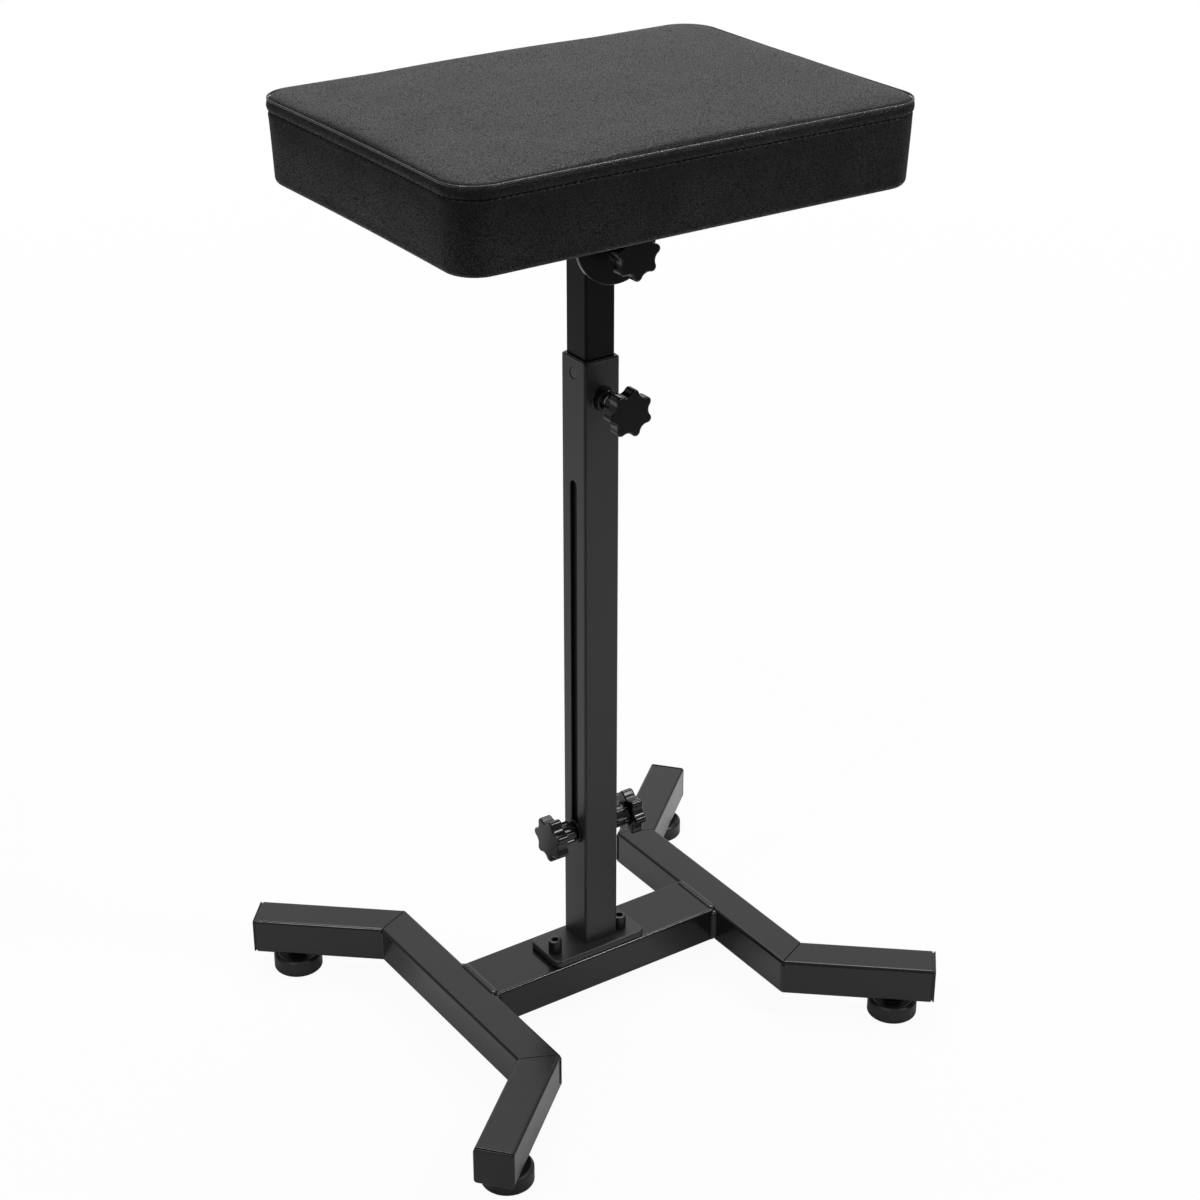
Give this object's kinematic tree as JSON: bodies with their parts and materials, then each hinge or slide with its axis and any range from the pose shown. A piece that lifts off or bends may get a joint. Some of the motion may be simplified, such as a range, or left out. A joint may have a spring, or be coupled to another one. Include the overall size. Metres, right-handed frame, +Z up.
{
  "type": "tattoo leg rest",
  "caption": "Free-standing leg rest: an upholstered pad tilts on a height-adjustable square column with star knobs, on a cross beam between two bent legs with levelling feet.",
  "frame": {"origin": "on the floor, at the middle of the footprint, under the column", "axes": "+X along the pad and the cross beam, -Y to the front with the lock and tilt knobs, +Z up"},
  "size_m": [0.428, 0.3836, 0.7335],
  "materials": {
    "powder_coat": "black powder coat with a satin gloss",
    "cap_plastic": "moulded black plastic",
    "knob_plastic": "moulded black plastic with a soft gloss",
    "foot_rubber": "black rubber",
    "zinc_steel": "zinc-plated steel",
    "black_steel": "blackened steel",
    "plywood": "plain plywood",
    "pad_foam": "soft foam",
    "pad_leather": "black artificial leather with a fine grain",
    "dust_fabric": "thin black non-woven cloth"
  },
  "bodies": {
    "base": {"cross_beam": "powder_coat", "left_leg_tube": "powder_coat", "right_leg_tube": "powder_coat", "front_left_arm": "powder_coat", "rear_left_arm": "powder_coat", "front_right_arm": "powder_coat", "rear_right_arm": "powder_coat", "beam_welds": "powder_coat", "front_left_cap": "cap_plastic", "rear_left_cap": "cap_plastic", "front_right_cap": "cap_plastic", "rear_right_cap": "cap_plastic", "foot_weld_nuts": "zinc_steel", "foot_jam_nuts": "black_steel", "base_plate": "powder_coat", "base_screws": "black_steel", "beam_rivet_nuts": "zinc_steel", "outer_column": "powder_coat", "column_bush": "cap_plastic", "lock_boss": "powder_coat"},
    "post": {"inner_post": "powder_coat", "post_glide": "cap_plastic", "pivot_sleeve": "powder_coat", "sleeve_bushes": "cap_plastic", "sleeve_welds": "powder_coat", "clamp_stud": "zinc_steel", "slot_washers": "black_steel", "tilt_bolt": "black_steel", "tilt_washers": "black_steel"},
    "pad": {"tilt_bracket": "powder_coat", "front_cheek": "powder_coat", "rear_cheek": "powder_coat", "bracket_welds": "powder_coat", "bracket_screws": "black_steel", "tee_nuts": "zinc_steel", "pad_board": "plywood", "pad_foam": "pad_foam", "pad_side_band": "pad_leather", "pad_top_panel": "pad_leather", "dust_cover": "dust_fabric"},
    "left_clamp": {"left_clamp_knob": "knob_plastic", "left_clamp_insert": "zinc_steel"},
    "right_clamp": {"right_clamp_knob": "knob_plastic", "right_clamp_insert": "zinc_steel"},
    "column_lock": {"lock_knob": "knob_plastic", "lock_stud": "zinc_steel"},
    "tilt_clamp": {"tilt_knob": "knob_plastic", "tilt_knob_insert": "zinc_steel"},
    "front_left_leveller": {"front_left_foot": "foot_rubber", "front_left_foot_stud": "zinc_steel"},
    "rear_left_leveller": {"rear_left_foot": "foot_rubber", "rear_left_foot_stud": "zinc_steel"},
    "front_right_leveller": {"front_right_foot": "foot_rubber", "front_right_foot_stud": "zinc_steel"},
    "rear_right_leveller": {"rear_right_foot": "foot_rubber", "rear_right_foot_stud": "zinc_steel"}
  },
  "joints": [
    {"name": "height_slide", "type": "slide", "parent": "base", "child": "post", "axis": [0, 0, 1], "range_m": [0, 0.292]},
    {"name": "pad_tilt", "type": "hinge", "parent": "post", "child": "pad", "pos_m": [0, 0, 0.6319], "axis": [0, 1, 0], "range_deg": [-90, 90]},
    {"name": "left_clamp_turn", "type": "hinge", "parent": "post", "child": "left_clamp", "pos_m": [-0.029, 0, 0.1535], "axis": [-1, 0, 0], "continuous": true},
    {"name": "right_clamp_turn", "type": "hinge", "parent": "post", "child": "right_clamp", "pos_m": [0.029, 0, 0.1535], "axis": [1, 0, 0], "continuous": true},
    {"name": "lock_turn", "type": "hinge", "parent": "base", "child": "column_lock", "pos_m": [0, -0.04, 0.5152], "axis": [0, -1, 0], "continuous": true},
    {"name": "tilt_clamp_turn", "type": "hinge", "parent": "post", "child": "tilt_clamp", "pos_m": [0, -0.047, 0.6319], "axis": [0, -1, 0], "continuous": true},
    {"name": "front_left_foot_turn", "type": "hinge", "parent": "base", "child": "front_left_leveller", "pos_m": [-0.18028, -0.15992, 0.007], "axis": [0, 0, 1], "continuous": true},
    {"name": "rear_left_foot_turn", "type": "hinge", "parent": "base", "child": "rear_left_leveller", "pos_m": [-0.18028, 0.15992, 0.007], "axis": [0, 0, 1], "continuous": true},
    {"name": "front_right_foot_turn", "type": "hinge", "parent": "base", "child": "front_right_leveller", "pos_m": [0.18028, -0.15992, 0.007], "axis": [0, 0, 1], "continuous": true},
    {"name": "rear_right_foot_turn", "type": "hinge", "parent": "base", "child": "rear_right_leveller", "pos_m": [0.18028, 0.15992, 0.007], "axis": [0, 0, 1], "continuous": true}
  ]
}
